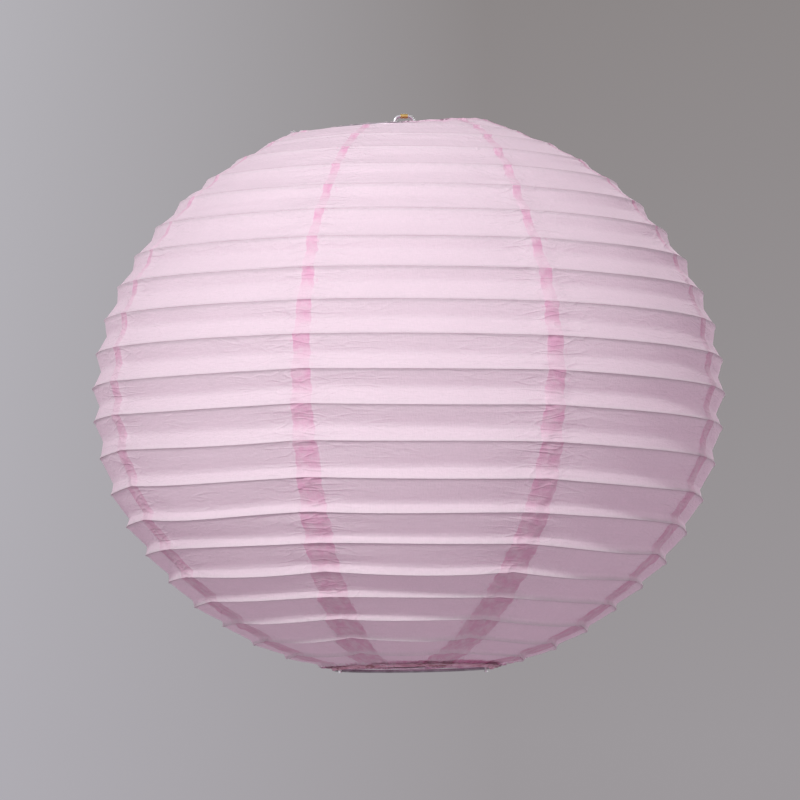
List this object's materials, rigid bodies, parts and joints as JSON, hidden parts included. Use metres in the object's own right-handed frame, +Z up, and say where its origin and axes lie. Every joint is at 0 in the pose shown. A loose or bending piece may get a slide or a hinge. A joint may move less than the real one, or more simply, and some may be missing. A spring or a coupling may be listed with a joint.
{
  "type": "accordion paper lantern",
  "caption": "Round fold-flat paper lantern on a spiral wire rib, held open by a sprung wire expander and hung from its arch.",
  "frame": {"origin": "hanging point: underside of the brass sleeve on the crown of the hanging arch, where a cord or hook bears", "axes": "+Z up along the lantern's axis; the expander's plane is turned 10 degrees from +X towards +Y; -Y is the side seen first"},
  "size_m": [0.4, 0.4, 0.3551],
  "materials": {
    "paper": "matt, pale pink, translucent",
    "hem_paper": "matt, glued layers",
    "ring_steel": "dull drawn wire",
    "rib_steel": "dull drawn wire",
    "expander_steel": "bright plated wire",
    "sleeve_brass": "polished"
  },
  "bodies": {
    "hanger": {"top_ring": "ring_steel", "top_hem": "hem_paper", "rib_wire": "rib_steel", "gore_1": "paper", "gore_2": "paper", "gore_3": "paper", "gore_4": "paper", "gore_5": "paper", "gore_6": "paper", "gore_7": "paper", "gore_8": "paper", "expander_crossbar": "expander_steel", "hanger_sleeve": "sleeve_brass"},
    "bottom_neck": {"bottom_ring": "ring_steel", "bottom_hem": "hem_paper"},
    "leg_left": {"expander_leg_left": "expander_steel"},
    "leg_right": {"expander_leg_right": "expander_steel"}
  },
  "joints": [
    {"name": "collapse", "type": "slide", "parent": "hanger", "child": "bottom_neck", "axis": [0, 0, 1], "range_m": [0, 0.3061], "deforming": ["gore_1", "gore_2", "gore_3", "gore_4", "gore_5", "gore_6", "gore_7", "gore_8", "rib_wire"]},
    {"name": "leg_right_swing", "type": "hinge", "parent": "hanger", "child": "leg_right", "pos_m": [0.04333, 0.00764, -0.01485], "axis": [-0.1736, 0.9848, 0], "range_deg": [0, 8]},
    {"name": "leg_left_swing", "type": "hinge", "parent": "hanger", "child": "leg_left", "pos_m": [-0.04333, -0.00764, -0.01485], "axis": [0.1736, -0.9848, 0], "range_deg": [0, 8]}
  ],
  "couplings": [
    {"joint": "leg_right_swing", "follows": "collapse", "rad_per_m": 0.45569},
    {"joint": "leg_left_swing", "follows": "collapse", "rad_per_m": 0.45569}
  ]
}
